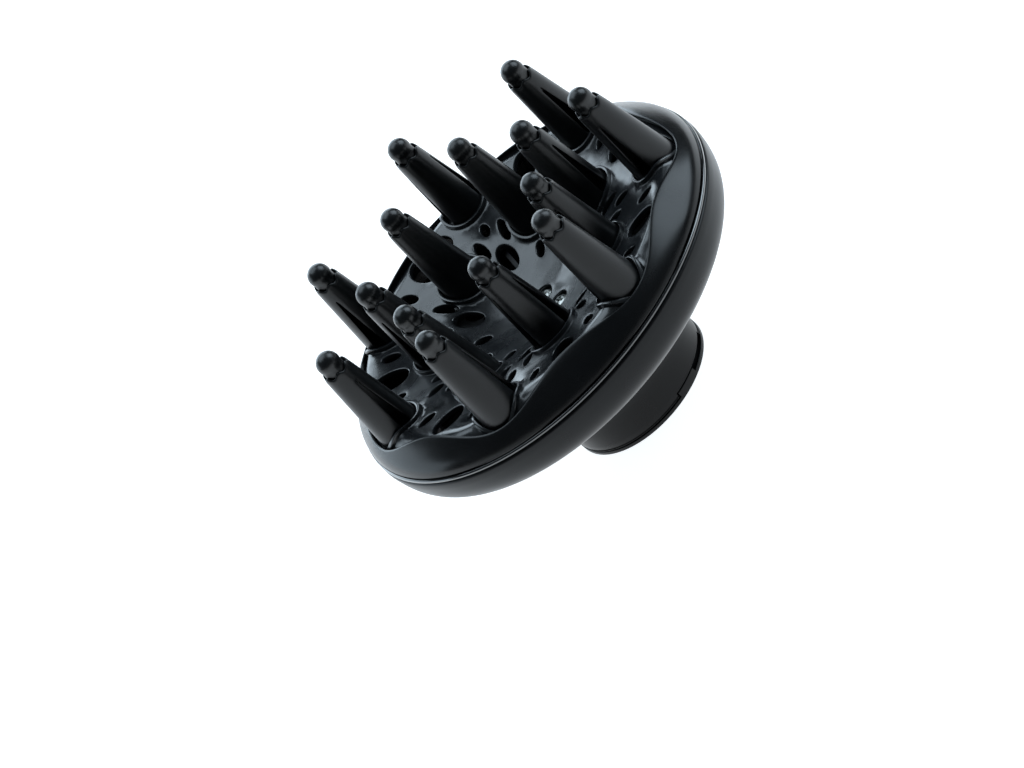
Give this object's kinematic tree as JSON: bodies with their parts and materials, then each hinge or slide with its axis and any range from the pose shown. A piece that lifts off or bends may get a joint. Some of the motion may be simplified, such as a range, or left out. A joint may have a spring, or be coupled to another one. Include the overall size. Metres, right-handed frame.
{
  "type": "hair dryer diffuser",
  "caption": "Round hair dryer diffuser: a dished perforated plate in a black bowl with two rings of hollow domed fingers, and a collar with a twist ring for the dryer.",
  "frame": {"origin": "centre of the collar's open end, on the plane that the diffuser stands on when its fingers point up", "axes": "+Z along the axis of the bowl, from the dryer towards the fingertips; +X through the axis of the inner finger named inner_finger_1"},
  "size_m": [0.1618, 0.1618, 0.1077],
  "materials": {
    "case_satin": "satin black moulded plastic with a fine even grain",
    "bezel_satin": "satin black moulded plastic, smoother than the shell",
    "trim_gloss": "polished black plastic",
    "plate_gloss": "glossy smoke-black plastic with faint flow marks",
    "finger_matte": "soft-touch matte black",
    "tip_satin": "satin black, slightly worn at the crown",
    "adapter_satin": "satin black heat-resistant plastic",
    "inner_black": "unpolished black heat-resistant plastic",
    "screw_steel": "zinc-plated steel, dulled"
  },
  "bodies": {
    "diffuser": {"back_shell": "case_satin", "hub_spider": "case_satin", "trim_bead": "trim_gloss", "front_bezel": "bezel_satin", "diffuser_plate": "plate_gloss", "air_baffle": "inner_black", "finger_carrier": "inner_black", "hub_screw_1": "screw_steel", "carrier_screw_1": "screw_steel", "hub_screw_2": "screw_steel", "carrier_screw_2": "screw_steel", "hub_screw_3": "screw_steel", "carrier_screw_3": "screw_steel", "inner_finger_1": "finger_matte", "outer_finger_1": "finger_matte", "inner_tip_1": "tip_satin", "outer_tip_1": "tip_satin", "inner_finger_2": "finger_matte", "outer_finger_2": "finger_matte", "inner_tip_2": "tip_satin", "outer_tip_2": "tip_satin", "inner_finger_3": "finger_matte", "outer_finger_3": "finger_matte", "inner_tip_3": "tip_satin", "outer_tip_3": "tip_satin", "inner_finger_4": "finger_matte", "outer_finger_4": "finger_matte", "inner_tip_4": "tip_satin", "outer_tip_4": "tip_satin", "inner_finger_5": "finger_matte", "outer_finger_5": "finger_matte", "inner_tip_5": "tip_satin", "outer_tip_5": "tip_satin", "inner_finger_6": "finger_matte", "outer_finger_6": "finger_matte", "inner_tip_6": "tip_satin", "outer_tip_6": "tip_satin", "inner_finger_7": "finger_matte", "outer_finger_7": "finger_matte", "inner_tip_7": "tip_satin", "outer_tip_7": "tip_satin"},
    "adapter": {"adapter_ring": "adapter_satin"}
  },
  "joints": [
    {"name": "ring_twist", "type": "hinge", "parent": "diffuser", "child": "adapter", "pos_m": [0, 0, 0.01], "axis": [0, 0, 1], "range_deg": [0, 32]}
  ]
}
